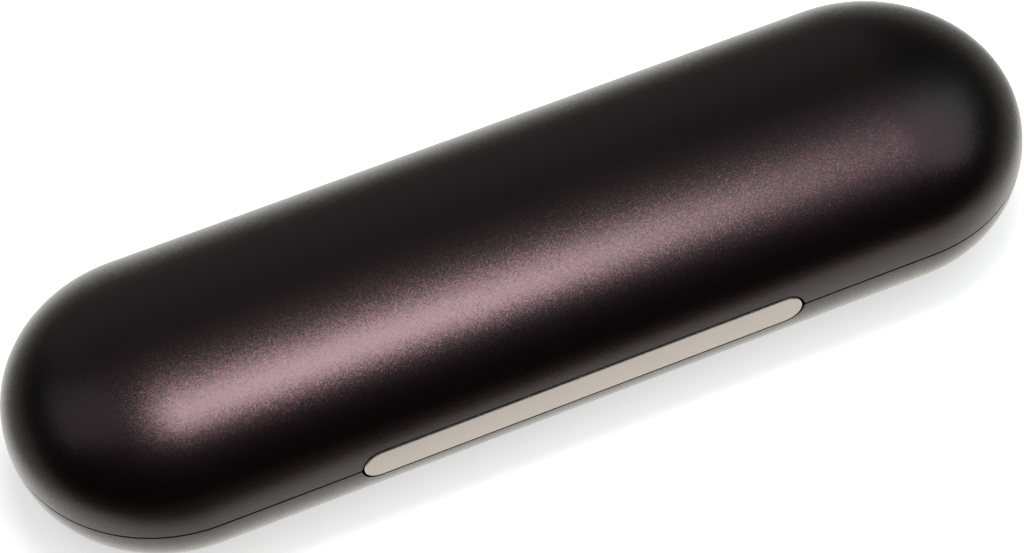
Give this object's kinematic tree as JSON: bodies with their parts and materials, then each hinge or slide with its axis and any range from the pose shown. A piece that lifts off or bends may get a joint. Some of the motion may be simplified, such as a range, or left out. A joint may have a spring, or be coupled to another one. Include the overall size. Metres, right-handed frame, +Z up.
{
  "type": "toothbrush travel case",
  "caption": "Capsule-shaped hinged travel case for an electric toothbrush, with a long sprung push bar that unlatches the lid, a moulded tray and a lined lid.",
  "frame": {"origin": "centre of the underside pad's flat face, on the surface that the closed case rests on", "axes": "+X along the case, +Z up through the lid, -Y the front with the push bar; the hinges are at +Y"},
  "size_m": [0.24, 0.0729, 0.045],
  "materials": {
    "shell_lacquer": "near-black satin lacquer with a fine mauve metallic flake on moulded plastic",
    "bar_finish": "satin warm silver metallic lacquer on moulded plastic",
    "tray_plastic": "fine matt moulded texture",
    "latch_plastic": "smooth moulded",
    "soft_silicone": "matt silicone",
    "bright_steel": "bright drawn or stamped steel",
    "screw_steel": "zinc-plated"
  },
  "bodies": {
    "base": {"base_shell": "shell_lacquer", "base_tray": "tray_plastic", "base_pad": "soft_silicone", "handle_saddle_left": "soft_silicone", "handle_saddle_right": "soft_silicone", "latch_housing": "latch_plastic", "hinge_pin_left": "bright_steel", "hinge_pin_right": "bright_steel", "return_spring_left": "bright_steel", "return_spring_right": "bright_steel", "tray_screws": "screw_steel", "latch_housing_screws": "screw_steel"},
    "lid": {"lid_shell": "shell_lacquer", "lid_liner": "tray_plastic", "liner_screws": "screw_steel", "strike_plate_left": "bright_steel", "strike_plate_right": "bright_steel", "strike_screws": "screw_steel", "lid_cushion_left": "soft_silicone", "lid_cushion_right": "soft_silicone"},
    "button": {"button_bar": "bar_finish", "latch_slider": "latch_plastic", "slider_screws": "screw_steel"}
  },
  "joints": [
    {"name": "lid_hinge", "type": "hinge", "parent": "base", "child": "lid", "pos_m": [0, 0.0354, 0.022], "axis": [-1, 0, 0], "range_deg": [0, 105]},
    {"name": "bar_press", "type": "slide", "parent": "base", "child": "button", "axis": [0, 1, 0], "range_m": [0, 0.0018], "stiffness_N_per_m": 1200, "springref_m": -0.002, "deforming": ["return_spring_left", "return_spring_right"]}
  ]
}
